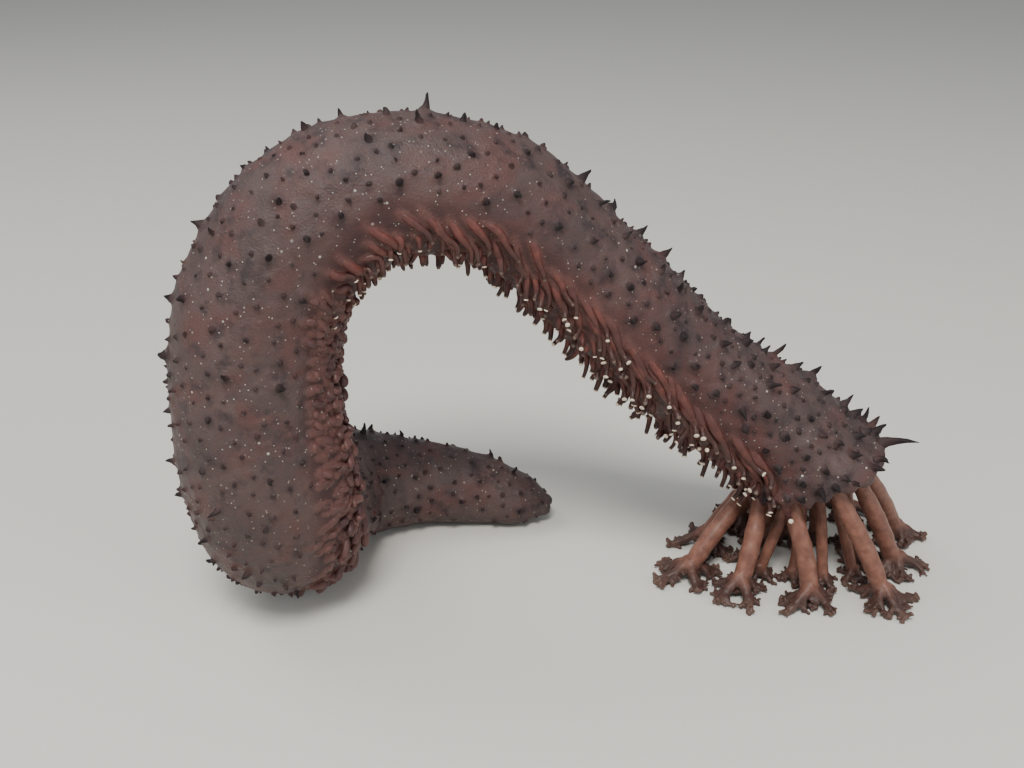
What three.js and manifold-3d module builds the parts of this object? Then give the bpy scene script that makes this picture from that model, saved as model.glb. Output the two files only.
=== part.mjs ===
// A life-size sea cucumber. Its hind body lies on the floor, the middle rises and arches over,
// and the head comes down so that the mouth tentacles spread on the floor.
// Millimetres, +Z up, +X from the foot of the arch towards the head, floor at z = 0.
// The origin is the point of the floor under the foot of the arch.
import * as THREE from 'three';
import { mergeVertices } from 'three/addons/utils/BufferGeometryUtils.js';
import Module from 'manifold-3d';

const wasm = await Module();
wasm.setup();

// Stations of the body's axis, hind tip first: x, y, z and the body's radius there.
const STATIONS = [
  [62.5, 14.5, 5.2, 3],
  [55.5, 15.3, 6.7, 7.6],
  [41.5, 16.6, 9.1, 10.3],
  [24.5, 16.6, 11.2, 12.6],
  [6.5, 9.3, 14.6, 16.2],
  [-2.5, -7, 18.2, 19.8],
  [-3.7, -24, 26.6, 20.9],
  [-4.7, -31.5, 44, 20.5],
  [-6.1, -32, 63, 19.6],
  [-3.9, -30.7, 82, 18.8],
  [6.1, -28, 100, 18.2],
  [23.5, -24.5, 109, 17],
  [42.5, -21.5, 107.8, 15.8],
  [58, -18, 98.8, 15.2],
  [71.9, -15, 84.6, 15],
  [86.3, -12.5, 69.9, 15],
  [101.2, -10, 56, 15],
  [114.9, -8, 44.8, 15.2],
  [124.3, -7.2, 37.4, 16.2],
  [130.1, -7, 30.6, 17.6],
];
// Each length of the body, named, with the station where it ends.
const LENGTHS = [
  ['hind_end', 1.9],
  ['hind_body', 3.9],
  ['foot_hind', 5.4],
  ['foot_fore', 6.8],
  ['rise_lower', 8.3],
  ['rise_upper', 9.8],
  ['arch_hind', 11.3],
  ['arch_fore', 12.9],
  ['fall_upper', 14.6],
  ['fall_lower', 16.4],
  ['head', 19],
];
const GAP = 0.3;
const SIDES = 20;
const RING_STEP = 5.5;

// The sole faces the floor on the hind body, and a point inside the arch on the rest.
const SOLE_FOCUS = new THREE.Vector3(40.5, -44, 45);
const TURN_STARTS = 4;
const TURN_ENDS = 8;
const SOLE_FLATTENING = 0.07;

// The mouth end: a collar round a cup, with a disc and the tentacles in the cup.
const MOUTH_FACES = new THREE.Vector3(0.32, 0.01, -0.947).normalize();
const COLLAR_WALL = 2.5;
const CUP_DEPTH = 5;
const DISC_THICK = 1.8;
const LIP_RADIUS = 3.6;
const LIP_HEIGHT = 1.6;
const MOUTH_RADIUS = 1.6;

// Papillae: pointed, spread over the back and flanks in staggered rows, from a set angle outside the
// band of tube feet, in degrees.
const PAPILLA_SIDES = 5;
const PAPILLA_ROW_STEP = 9.2;
const PAPILLA_SPACING = 12.5;
const PAPILLA_APART = 6.5;
const PAPILLAE_FROM_BAND = 13;
const PAPILLA_LARGE_SHARE = 0.25;
const PAPILLA_LARGE = { height: [3.0, 4.2], radius: 1.5 };
const PAPILLA_SMALL = { height: [1.6, 2.6], radius: 1.2 };
// The papillae on the outline: station number, angle and height.
const OUTLINE_PAPILLAE = [
  [7.4, 144, 2.0], [8.5, 152, 3.2], [9.6, 164, 2.6], [11.5, 172, 2.8], [12.4, 168, 2.0],
  [13.1, 162, 2.2], [13.5, 156, 2.4], [14.0, 156, 2.8], [14.4, 156, 3.6], [15.7, 160, 2.2],
  [16.6, 160, 3.2], [17.5, 156, 4.2],
];
const RIM_PAPILLAE = 14;
const RIM_SET_BACK = 2.4;
// The rim bears none beside the sole, where the cosine of the angle is above this.
const RIM_BARE = 0.75;
const LONG_PAPILLA = { place: 4, height: 11, radius: 1.4, lean: 0.65 };

// Tube feet: rows along the sole, short and drawn in on the column, long towards the head. The band
// they stand in is narrow on the column and at the collar, and widest on the arch.
const FOOT_SIDES = 4;
const FOOT_STEP = 14.5;
// The angle off the sole where the band ends, by station number, and the rows as shares of it.
const FOOT_BAND = [
  [0, 61], [6.8, 61], [7.4, 45], [9, 43], [10, 54], [11, 74], [12, 70], [15, 62], [16.7, 52], [19, 38],
];
const FOOT_ROWS = [-0.82, -0.41, 0, 0.41, 0.82];
// Under the hind body, which lies on the floor, there are only the rows beside the sole.
const LAID_FOOT_ROWS = [-1.08, 1.08];
const FOOT_RADIUS = 0.85;
const FOOT_SUCKER = 1.25;
// Length of the tube feet by station number.
const FOOT_LENGTHS = [[0, 1.8], [9, 2.0], [11, 2.6], [13, 3.6], [15, 4.6], [17, 6.0], [19, 6.0]];
const FOOT_DROOP = 0.55;

// Tentacles: an outer and an inner ring on the disc.
const OUTER = {
  root: 11.2, stalk: 2.2, crown: 8.4, sides: 6, fingers: 5, finger: 1.5, straight: 10, spread: 2.4,
};
// The angle and reach of each foot, and the angle of its root on the disc.
const OUTER_FEET = [
  [192, 33, 158], [214, 24, 190], [261, 18.5, 232], [313, 23.5, 290], [353, 23.5, 327],
  [24, 31, 2], [54, 30, 37], [88, 26, 72], [124, 24.5, 103], [162, 27, 131],
];
const INNER = {
  root: 5.9, stalk: 1.4, crown: 4.8, sides: 5, fingers: 4, finger: 1.0, straight: 12, spread: 0,
};
const INNER_FEET = [
  [206, 15], [240, 10], [285, 10.5], [328, 13.5], [0, 15.5],
  [31, 16], [65, 13.5], [104, 11.5], [142, 13.5], [178, 15.5],
];
const SPREAD_CENTRE = new THREE.Vector3(132.5, -8, 0);
const CROWN_MARGIN = 0.3;

const COLOURS = { body: 0x5a3634, head: 0x4e2f2e, mouth: 0x3a2222, tentacle: 0x8a5236 };

// The point, radius and direction of the axis at a station number, by Catmull-Rom between stations.
function station(t) {
  const last = STATIONS.length - 1;
  const i = Math.min(Math.max(Math.floor(t), 0), last - 1);
  const u = t - i;
  const row = (k) =>
    k < 0 ? STATIONS[0].map((v, n) => 2 * v - STATIONS[1][n])
      : k > last ? STATIONS[last].map((v, n) => 2 * v - STATIONS[last - 1][n])
        : STATIONS[k];
  const [a, b, c, d] = [row(i - 1), row(i), row(i + 1), row(i + 2)];
  const value = b.map((_, n) => 0.5 * (2 * b[n] + (c[n] - a[n]) * u
    + (2 * a[n] - 5 * b[n] + 4 * c[n] - d[n]) * u * u
    + (3 * b[n] - a[n] - 3 * c[n] + d[n]) * u ** 3));
  const slope = b.map((_, n) => 0.5 * (c[n] - a[n] + 2 * (2 * a[n] - 5 * b[n] + 4 * c[n] - d[n]) * u
    + 3 * (3 * b[n] - a[n] - 3 * c[n] + d[n]) * u * u));
  const at = new THREE.Vector3(...value);
  const along = new THREE.Vector3(...slope).normalize();
  const turned = THREE.MathUtils.smoothstep(t, TURN_STARTS, TURN_ENDS);
  const sole = new THREE.Vector3(0, 0, -1)
    .lerp(SOLE_FOCUS.clone().sub(at).normalize(), turned)
    .projectOnPlane(along).normalize();
  return { at, along, sole, flank: sole.clone().cross(along), r: value[3] };
}

// The outward direction at an angle round the body, 0 at the middle of the sole.
function outward(place, angle) {
  return place.sole.clone().multiplyScalar(Math.cos(angle))
    .addScaledVector(place.flank, Math.sin(angle));
}

// The body's radius at a station and an angle, a little flatter on the sole.
function skinRadius(place, angle) {
  const offSole = Math.atan2(Math.sin(angle), Math.cos(angle)) / 0.8;
  return place.r * (1 - SOLE_FLATTENING * Math.exp(-offSole * offSole));
}

// A three.js geometry as a closed solid facing out.
function solid(geometry) {
  const bare = geometry.clone();
  bare.deleteAttribute('normal');
  bare.deleteAttribute('uv');
  const merged = mergeVertices(bare, 1e-4);
  const index = merged.index.array;
  const triangles = [];
  for (let i = 0; i < index.length; i += 3) {
    const [a, b, c] = [index[i], index[i + 1], index[i + 2]];
    if (a !== b && b !== c && c !== a) triangles.push(a, b, c);
  }
  const make = (triVerts) => new wasm.Manifold(new wasm.Mesh({
    numProp: 3,
    vertProperties: merged.getAttribute('position').array,
    triVerts: Uint32Array.from(triVerts),
  }));
  const made = make(triangles);
  return made.volume() > 0 ? made : make(triangles.reverse());
}

// The three.js geometry of a solid.
function geometryOf(body) {
  const { vertProperties, triVerts } = body.getMesh();
  return new THREE.BufferGeometry()
    .setAttribute('position', new THREE.BufferAttribute(vertProperties, 3))
    .setIndex(new THREE.BufferAttribute(triVerts, 1));
}

// A solid as a three.js mesh with its own material.
function meshOf(name, body, colour, roughness) {
  const geometry = geometryOf(body);
  geometry.computeVertexNormals();
  const material = new THREE.MeshStandardMaterial({ color: colour, roughness, metalness: 0 });
  const mesh = new THREE.Mesh(geometry, material);
  mesh.name = name;
  return mesh;
}

// A unit cylinder bent to a shape: place(share, angle) is the point of the wall, share 0 to 1
// from its start to its end, and middle(share) the point in the middle of each end.
function bent(sides, rings, place, middle) {
  const geometry = new THREE.CylinderGeometry(1, 1, 1, sides, rings);
  const points = geometry.getAttribute('position');
  for (let i = 0; i < points.count; i++) {
    const [x, y, z] = [points.getX(i), points.getY(i), points.getZ(i)];
    const share = y + 0.5;
    const p = Math.hypot(x, z) < 0.5 ? middle(share) : place(share, Math.atan2(z, x));
    points.setXYZ(i, p.x, p.y, p.z);
  }
  return solid(geometry);
}

// A round rod along a curve, through rings at given shares of its length, each with its radius.
function rod(curve, sides, stops, radius) {
  const frames = curve.computeFrenetFrames(60);
  return bent(sides, stops.length - 1, (share, angle) => {
    const k = Math.round(share * (stops.length - 1));
    const n = Math.round(stops[k] * 60);
    const side = frames.normals[n].clone().multiplyScalar(Math.cos(angle))
      .addScaledVector(frames.binormals[n], Math.sin(angle));
    return curve.getPointAt(stops[k]).addScaledVector(side, radius(k));
  }, (share) => curve.getPointAt(share));
}

// A repeatable random number in a range, from a seed.
function seeded(seed) {
  let state = seed;
  return (low, high) => {
    state = (state * 1664525 + 1013904223) % 4294967296;
    return low + (high - low) * (state / 4294967296);
  };
}

// A value read from rows of [place, value], straight between them.
function between(rows, x) {
  const k = rows.findIndex((row) => row[0] >= x);
  if (k <= 0) return rows[Math.max(k, 0)][1];
  const [[x0, y0], [x1, y1]] = [rows[k - 1], rows[k]];
  return y0 + ((y1 - y0) * (x - x0)) / (x1 - x0);
}

// A cone whose base is sunk into the skin, leaning a little off the skin's own direction.
function papilla(t, angle, height, radius, lean) {
  const place = station(t);
  const out = outward(place, angle);
  const foot = place.at.clone().addScaledVector(out, skinRadius(place, angle) - 0.8);
  const cone = new THREE.ConeGeometry(radius * 1.2, height + 0.8, PAPILLA_SIDES, 1);
  cone.translate(0, (height + 0.8) / 2, 0);
  return solid(standing(cone, foot, out.add(lean).normalize()));
}

// A tube foot: a stem rooted in the skin that curves towards the ground, with a flared sucker.
function tubeFoot(t, angle, length, random) {
  const place = station(t);
  const out = outward(place, angle);
  const root = place.at.clone().addScaledVector(out, skinRadius(place, angle) - 0.9);
  const droop = new THREE.Vector3(0, 0, -FOOT_DROOP * length)
    .addScaledVector(place.along, random(-0.25, 0.25) * length);
  const curve = new THREE.QuadraticBezierCurve3(
    root,
    root.clone().addScaledVector(out, 0.9 + length * 0.55),
    root.clone().addScaledVector(out, 0.9 + length * 0.75).add(droop),
  );
  const radii = [1.35, 0.85, FOOT_SUCKER].map((v) => v * FOOT_RADIUS);
  return rod(curve, FOOT_SIDES, [0, 0.75, 1], (k) => radii[k]);
}

// Joins closed pieces, cuts away what reaches below the floor and keeps the largest piece.
function fused(pieces) {
  const largest = (body) => body.decompose().sort((a, b) => b.volume() - a.volume())[0];
  const whole = wasm.Manifold.union(pieces).trimByPlane([0, 0, 1], 0).simplify(0.065);
  return largest(solid(geometryOf(largest(whole))));
}

// The plain skin of the body between two stations.
function bodyLength(from, to) {
  const length = station(from).at.distanceTo(station(to).at);
  const rings = Math.max(2, Math.round(length / RING_STEP));
  const at = (share) => station(from + (to - from) * share);
  return bent(SIDES, rings, (share, angle) => {
    const place = at(share);
    return place.at.clone().addScaledVector(outward(place, angle), skinRadius(place, angle));
  }, (share) => at(share).at);
}

// Turns a lathe shape, made round +Y, so that its +Y runs along a direction from a point.
function standing(geometry, foot, along) {
  const turn = new THREE.Quaternion().setFromUnitVectors(new THREE.Vector3(0, 1, 0), along);
  return geometry.applyQuaternion(turn).translate(foot.x, foot.y, foot.z);
}

const MOUTH = { ...station(STATIONS.length - 1), along: MOUTH_FACES };
const CUP_RADIUS = MOUTH.r - COLLAR_WALL;

// The cup inside the collar, as the solid that is cut out of the head.
function cup() {
  const profile = [[0, -CUP_DEPTH], [CUP_RADIUS, -CUP_DEPTH], [CUP_RADIUS + 0.8, 4], [0, 4]];
  const lathe = new THREE.LatheGeometry(profile.map((p) => new THREE.Vector2(...p)), SIDES);
  return solid(standing(lathe, MOUTH.at, MOUTH.along));
}

// The disc at the bottom of the cup, with the lip and the mouth in its middle.
function mouthDisc() {
  const low = -CUP_DEPTH + GAP;
  const top = low + DISC_THICK;
  const edge = CUP_RADIUS - GAP;
  const profile = [[0, low], [edge, low], [edge, top], [LIP_RADIUS, top],
    [LIP_RADIUS - 0.9, top + LIP_HEIGHT], [MOUTH_RADIUS, top + LIP_HEIGHT], [MOUTH_RADIUS * 0.6, top - 0.6],
    [0, top - 0.6]];
  const lathe = new THREE.LatheGeometry(profile.map((p) => new THREE.Vector2(...p)), SIDES);
  return solid(standing(lathe, MOUTH.at, MOUTH.along));
}

// The hub of each tentacle's crown on the floor.
function hubOf([degrees, reach]) {
  const angle = THREE.MathUtils.degToRad(degrees);
  return new THREE.Vector3(Math.cos(angle), Math.sin(angle), 0).multiplyScalar(reach).add(SPREAD_CENTRE);
}

const TENTACLES = [['outer', OUTER, OUTER_FEET], ['inner', INNER, INNER_FEET]]
  .flatMap(([ring, size, feet]) => feet.map((foot, i) => ({
    name: `tentacle_${ring}_${String(i + 1).padStart(2, '0')}`,
    size,
    hub: hubOf(foot),
    rootAngle: THREE.MathUtils.degToRad(foot[2] ?? foot[0]),
  })));

// The upright planes between a crown and its neighbours, as [normal towards the crown, offset].
function borders({ name, hub, size }) {
  return TENTACLES.filter((other) => other.name !== name)
    .map((other) => {
      const to = other.hub.clone().sub(hub);
      const share = size.crown / (size.crown + other.size.crown);
      const normal = to.clone().normalize().negate();
      return [normal, normal.dot(hub.clone().addScaledVector(to, share)) + CROWN_MARGIN];
    });
}

// One finger of a crown: it arches out from the hub and comes down to a tip on the floor.
function finger(hub, angle, reach, radius, random) {
  const out = new THREE.Vector3(Math.cos(angle), Math.sin(angle), 0);
  const aside = new THREE.Vector3(-out.y, out.x, 0).multiplyScalar(random(-0.12, 0.12) * reach);
  const curve = new THREE.QuadraticBezierCurve3(
    hub.clone().setZ(radius * 2.0),
    hub.clone().addScaledVector(out, reach * 0.5).add(aside).setZ(radius * 2.4),
    hub.clone().addScaledVector(out, reach - radius * 0.3).setZ(radius * 0.5),
  );
  const radii = [1.0, 1.1, 0.35].map((v) => v * radius);
  return rod(curve, 4, [0, 0.7, 1], (k) => radii[k]);
}

// A tentacle: a stalk from the disc down to the floor, and the fingers of its crown there.
function tentacle(one, seed) {
  const { hub, size } = one;
  const random = seeded(seed);
  const limits = borders(one);
  const toward = hub.clone().sub(SPREAD_CENTRE).normalize();
  const side = new THREE.Vector3(Math.cos(one.rootAngle), Math.sin(one.rootAngle), 0)
    .projectOnPlane(MOUTH.along).normalize();
  const face = -CUP_DEPTH + GAP + DISC_THICK + GAP;
  const root = MOUTH.at.clone().addScaledVector(MOUTH.along, face - 0.8)
    .addScaledVector(side, size.root);
  const curve = new THREE.CubicBezierCurve3(
    root,
    root.clone().addScaledVector(MOUTH.along, size.straight).addScaledVector(side, size.spread),
    hub.clone().addScaledVector(toward, -3).setZ(12),
    hub.clone().setZ(size.finger),
  );
  const radii = [0.85, 0.87, 0.95, 1.08, 1.1, 1.0].map((v) => v * size.stalk);
  const stalk = rod(curve, size.sides, [0, 0.12, 0.27, 0.5, 0.82, 1], (k) => radii[k])
    .trimByPlane(MOUTH.along.toArray(), MOUTH.along.dot(MOUTH.at) + face);
  const [top, bottom] = [size.stalk * 0.9, size.stalk * 1.35];
  const base = new THREE.CylinderGeometry(top, bottom, size.finger * 2.6, size.sides);
  const pieces = [solid(base.rotateX(Math.PI / 2).translate(hub.x, hub.y, size.finger * 1.3 - 0.02))];
  const first = Math.atan2(toward.y, toward.x);
  for (let k = 0; k < size.fingers; k++) {
    const angle = first + (Math.PI * 2 * (k + random(-0.18, 0.18))) / size.fingers;
    const out = new THREE.Vector3(Math.cos(angle), Math.sin(angle), 0);
    const room = limits.map(([normal, offset]) => {
      const closing = -normal.dot(out);
      return closing > 0.05 ? (normal.dot(hub) - offset) / closing : Infinity;
    });
    const reach = Math.min(size.crown * random(0.88, 1.05), ...room);
    pieces.push(finger(hub, angle, reach, size.finger, random));
  }
  const crown = limits.reduce(
    (body, [normal, offset]) => body.trimByPlane(normal.toArray(), offset),
    wasm.Manifold.union(pieces),
  );
  return fused([stalk, crown]);
}

// Where the papillae of one length go: those on the outline first, then staggered rows.
function papillaePlaces(from, to, isHead, random) {
  const places = [];
  const length = station(from).at.distanceTo(station(to).at);
  const edge = (to - from) * (2.0 / length);
  const point = (t, angle) => {
    const place = station(t);
    return place.at.addScaledVector(outward(place, angle), skinRadius(place, angle));
  };
  const add = (t, angle, height, radius) => {
    const at = point(t, angle);
    if (at.z < height + 1 || places.some((other) => other.at.distanceTo(at) < PAPILLA_APART)) return;
    places.push({ t, angle, height, radius, at });
  };
  OUTLINE_PAPILLAE.filter(([t]) => t > from && t < to).forEach(([t, degrees, height]) => {
    const size = height > 3 ? PAPILLA_LARGE : PAPILLA_SMALL;
    add(t, THREE.MathUtils.degToRad(degrees), height, size.radius);
  });
  const rows = Math.max(1, Math.round(length / PAPILLA_ROW_STEP));
  for (let row = 0; row < rows; row++) {
    const middle = from + ((to - from) * (row + 0.5)) / rows;
    const first = THREE.MathUtils.degToRad(between(FOOT_BAND, middle) + PAPILLAE_FROM_BAND);
    const last = Math.PI * 2 - first;
    const count = Math.max(3, Math.round(((last - first) * station(middle).r) / PAPILLA_SPACING));
    for (let k = 0; k < count; k++) {
      const large = random(0, 1) < PAPILLA_LARGE_SHARE;
      const size = large ? PAPILLA_LARGE : PAPILLA_SMALL;
      const shift = (to - from) * (random(-2.4, 2.4) / length);
      const t = THREE.MathUtils.clamp(middle + shift, from + edge, to - edge * (isHead ? 4 : 1));
      const along = (k + (row % 2 ? 0.7 : 0.3) + random(-0.22, 0.22)) / count;
      const angle = first + (last - first) * along;
      add(t, angle, random(...size.height), size.radius);
    }
  }
  return places;
}

// The papillae round the rim of the head, a set distance behind the plane of the mouth.
function rimPapillae(random) {
  const made = [];
  for (let k = 0; k < RIM_PAPILLAE; k++) {
    const isLong = k === LONG_PAPILLA.place;
    const angle = (Math.PI * 2 * (k + 0.5 + (isLong ? 0 : random(-0.2, 0.2)))) / RIM_PAPILLAE;
    if (Math.cos(angle) > RIM_BARE) continue;
    let [low, high] = [STATIONS.length - 2.2, STATIONS.length - 0.2];
    for (let step = 0; step < 20; step++) {
      const t = (low + high) / 2;
      const place = station(t);
      const at = place.at.clone().addScaledVector(outward(place, angle), skinRadius(place, angle));
      if (at.sub(MOUTH.at).dot(MOUTH.along) < -RIM_SET_BACK) low = t;
      else high = t;
    }
    const height = isLong ? LONG_PAPILLA.height : random(2.2, 4.0);
    const lean = MOUTH.along.clone().multiplyScalar(isLong ? LONG_PAPILLA.lean : 0.35);
    made.push(papilla(low, angle, height, isLong ? LONG_PAPILLA.radius : 1.4, lean));
  }
  return made;
}

// The tube feet of one length, in staggered rows along the sole.
function tubeFeet(from, to, random) {
  const made = [];
  const length = station(from).at.distanceTo(station(to).at);
  const count = Math.max(1, Math.round(length / FOOT_STEP));
  const laid = to < 5;
  const last = to === STATIONS.length - 1 ? to - 1.7 : to;
  (laid ? LAID_FOOT_ROWS : FOOT_ROWS).forEach((part, row) => {
    for (let k = 0; k < count; k++) {
      const share = (k + (row % 2 ? 0.72 : 0.28) + random(-0.08, 0.08)) / count;
      const t = from + (last - from) * share;
      const angle = THREE.MathUtils.degToRad(between(FOOT_BAND, t) * part + random(-4, 4));
      const reach = between(FOOT_LENGTHS, t) * random(0.85, 1.15);
      made.push(tubeFoot(t, angle, reach, random));
    }
  });
  return made;
}

// One length of the body with its papillae and tube feet, clear of the next lengths.
function lengthWithForms(name, from, to, seed) {
  const random = seeded(seed);
  const isHead = name === 'head';
  const lean = () => new THREE.Vector3(random(-0.2, 0.2), random(-0.2, 0.2), random(-0.2, 0.2));
  const forms = papillaePlaces(from, to, isHead, random)
    .map(({ t, angle, height, radius }) => papilla(t, angle, height, radius, lean()));
  forms.push(...tubeFeet(from, to, random));
  if (isHead) forms.push(...rimPapillae(random));
  const [start, end] = [station(from), station(to)];
  if (isHead) {
    const rim = MOUTH.along.clone().negate();
    const head = bodyLength(from, to + 0.8).trimByPlane(rim.toArray(), rim.dot(MOUTH.at));
    forms.push(head.subtract(cup()));
  } else {
    forms.push(bodyLength(from, to));
  }
  let whole = wasm.Manifold.union(forms);
  if (from > 0) {
    whole = whole.trimByPlane(start.along.toArray(), start.along.dot(start.at) + GAP / 2);
  }
  if (!isHead) {
    const back = end.along.clone().negate();
    whole = whole.trimByPlane(back.toArray(), back.dot(end.at) + GAP / 2);
  }
  return fused([whole]);
}

const animal = new THREE.Group();
let from = 0;
LENGTHS.forEach(([name, to], i) => {
  const colour = name === 'head' ? COLOURS.head : COLOURS.body;
  animal.add(meshOf(name, lengthWithForms(name, from, to, 101 + i), colour, 0.55));
  from = to;
});
animal.add(meshOf('mouth', mouthDisc(), COLOURS.mouth, 0.5));
TENTACLES.forEach((one, i) => {
  animal.add(meshOf(one.name, tentacle(one, 301 + i), COLOURS.tentacle, 0.45));
});

export default animal;
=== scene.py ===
import math

import bpy
import numpy as np
from numpy.random import default_rng
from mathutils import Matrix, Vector
from mathutils.kdtree import KDTree


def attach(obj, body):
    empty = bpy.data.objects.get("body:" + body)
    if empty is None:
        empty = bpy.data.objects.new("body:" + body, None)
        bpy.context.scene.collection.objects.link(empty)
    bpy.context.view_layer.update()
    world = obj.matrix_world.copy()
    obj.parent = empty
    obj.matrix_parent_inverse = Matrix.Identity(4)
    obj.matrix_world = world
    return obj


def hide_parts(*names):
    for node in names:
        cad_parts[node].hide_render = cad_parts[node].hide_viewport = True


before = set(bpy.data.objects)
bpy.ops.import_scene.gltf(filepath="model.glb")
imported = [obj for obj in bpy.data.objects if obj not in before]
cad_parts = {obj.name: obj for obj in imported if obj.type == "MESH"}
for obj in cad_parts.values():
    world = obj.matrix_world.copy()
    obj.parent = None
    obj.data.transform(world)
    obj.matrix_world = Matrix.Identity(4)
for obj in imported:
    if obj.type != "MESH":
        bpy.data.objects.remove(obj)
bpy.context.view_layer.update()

MM = 0.001

# The body's shape, with the same stations as the solids: x, y, z and radius.
STATIONS = np.array([
    [62.5, 14.5, 5.2, 3], [55.5, 15.3, 6.7, 7.6], [41.5, 16.6, 9.1, 10.3], [24.5, 16.6, 11.2, 12.6],
    [6.5, 9.3, 14.6, 16.2], [-2.5, -7, 18.2, 19.8], [-3.7, -24, 26.6, 20.9], [-4.7, -31.5, 44, 20.5],
    [-6.1, -32, 63, 19.6], [-3.9, -30.7, 82, 18.8], [6.1, -28, 100, 18.2], [23.5, -24.5, 109, 17],
    [42.5, -21.5, 107.8, 15.8], [58, -18, 98.8, 15.2], [71.9, -15, 84.6, 15], [86.3, -12.5, 69.9, 15],
    [101.2, -10, 56, 15], [114.9, -8, 44.8, 15.2], [124.3, -7.2, 37.4, 16.2], [130.1, -7, 30.6, 17.6],
])
LAST = len(STATIONS) - 1
# The sole is down on the floor, and turns to face this point between two stations.
SOLE_FOCUS = np.array([40.5, -44.0, 45.0])
SOLE_TURNS = (4.0, 8.0)
SOLE_FLATTENING = 0.07
HEAD_STARTS = 16.4
# The mouth: which way it faces, the collar round it and the disc in the collar's cup.
MOUTH_FACES = np.array([0.32, 0.01, -0.947]) / np.linalg.norm([0.32, 0.01, -0.947])
COLLAR_WALL = 2.5
CUP_DEPTH = 5.0
GAP = 0.3
DISC_THICK = 1.8
DOWN = np.array([0, 0, -1.0])
# How far above the floor the pieces stay.
SKIN_CLEARANCE = 0.04
GROWTH_CLEARANCE = 0.05
TENTACLE_CLEARANCE = 0.03

# The two rings of tentacles: the radius of the ring of roots, how far the stalk leaves the disc
# straight and sideways, the stalk's radius, and the crown's reach with the radius of its branches.
# Then how many branches, twigs to a branch, buds at its end and knobs under the stalk there are, the
# grain at which the rods melt into one skin, and the number before the ring's first seed.
OUTER = dict(root=11.2, straight=10, spread=2.4, stalk=2.45, crown=8.8, branch=1.3,
             branches=5, twigs=3, buds=11, knobs=10, melt=0.30, seed=40)
# Each foot's angle and reach, and its root's angle on the disc.
OUTER_FEET = [(192, 33, 158), (214, 24, 190), (261, 18.5, 232), (313, 23.5, 290), (353, 23.5, 327),
              (24, 31, 2), (54, 30, 37), (88, 26, 72), (124, 24.5, 103), (162, 27, 131)]
INNER = dict(root=5.9, straight=12, spread=0, stalk=1.55, crown=5.0, branch=0.95,
             branches=4, twigs=2, buds=7, knobs=6, melt=0.27, seed=60)
INNER_FEET = [(206, 15, 206), (240, 10, 240), (285, 10.5, 285), (328, 13.5, 328), (0, 15.5, 0),
              (31, 16, 31), (65, 13.5, 65), (104, 11.5, 104), (142, 13.5, 142), (178, 15.5, 178)]
TENTACLE_RINGS = [("outer", OUTER, OUTER_FEET), ("inner", INNER, INNER_FEET)]
SPREAD_CENTRE = np.array([132.5, -8.0, 0.0])
CROWN_MARGIN = 0.25


def unit(v):
    """Vectors along the last axis at length one."""
    return v / np.maximum(np.linalg.norm(v, axis=-1, keepdims=True), 1e-9)


def turns(count):
    """Angles all the way round, evenly apart."""
    return np.linspace(0, 2 * math.pi, count, endpoint=False)


def body_at(t):
    """The axis point, its direction, the sole and flank directions and the radius at stations t."""
    t = np.asarray(t, float)
    rows = np.vstack([2 * STATIONS[0] - STATIONS[1], STATIONS, 2 * STATIONS[-1] - STATIONS[-2]])
    i = np.clip(np.floor(t), 0, LAST - 1).astype(int)
    u = (t - i)[..., None]
    a, b, c, d = rows[i], rows[i + 1], rows[i + 2], rows[i + 3]
    value = 0.5 * (2 * b + (c - a) * u + (2 * a - 5 * b + 4 * c - d) * u**2 + (3 * b - a - 3 * c + d) * u**3)
    slope = 0.5 * (c - a + 2 * (2 * a - 5 * b + 4 * c - d) * u + 3 * (3 * b - a - 3 * c + d) * u**2)
    at = value[..., :3]
    along = unit(slope[..., :3])
    w = np.clip((t - SOLE_TURNS[0]) / (SOLE_TURNS[1] - SOLE_TURNS[0]), 0, 1)
    w = (w * w * (3 - 2 * w))[..., None]
    sole = DOWN * (1 - w) + unit(SOLE_FOCUS - at) * w
    sole = unit(sole - along * np.sum(sole * along, -1, keepdims=True))
    return at, along, sole, np.cross(sole, along), value[..., 3]


def skin_at(t, angle):
    """The smooth skin's point, its outward direction and the axis direction, at an angle off the sole."""
    at, along, sole, flank, r = body_at(t)
    out = sole * np.cos(angle)[..., None] + flank * np.sin(angle)[..., None]
    off = np.arctan2(np.sin(angle), np.cos(angle)) / 0.8
    r = r * (1 - SOLE_FLATTENING * np.exp(-off * off))
    return at + out * r[..., None], out, along


# Length along the axis at each station, to turn between station numbers and millimetres.
FINE_T = np.linspace(0, LAST, 1901)
FINE_S = np.concatenate([[0], np.cumsum(np.linalg.norm(np.diff(body_at(FINE_T)[0], axis=0), axis=1))])
BODY_LENGTH = FINE_S[-1]


def length_at(t):
    """The length along the axis at a station."""
    return np.interp(t, FINE_T, FINE_S)


def station_at(s):
    """The station at a length along the axis."""
    return np.interp(s, FINE_S, FINE_T)


MOUTH_AT = body_at(float(LAST))[0]
CUP_RADIUS = STATIONS[-1][3] - COLLAR_WALL


def rim_station(angle):
    """The station where the skin meets the plane of the mouth, at each angle."""
    low = np.full(np.shape(angle), LAST - 1.8)
    high = np.full(np.shape(angle), LAST + 0.9)
    for _ in range(22):
        t = (low + high) / 2
        inside = (skin_at(t, angle)[0] - MOUTH_AT) @ MOUTH_FACES < 0
        low = np.where(inside, t, low)
        high = np.where(inside, high, t)
    return low


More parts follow.
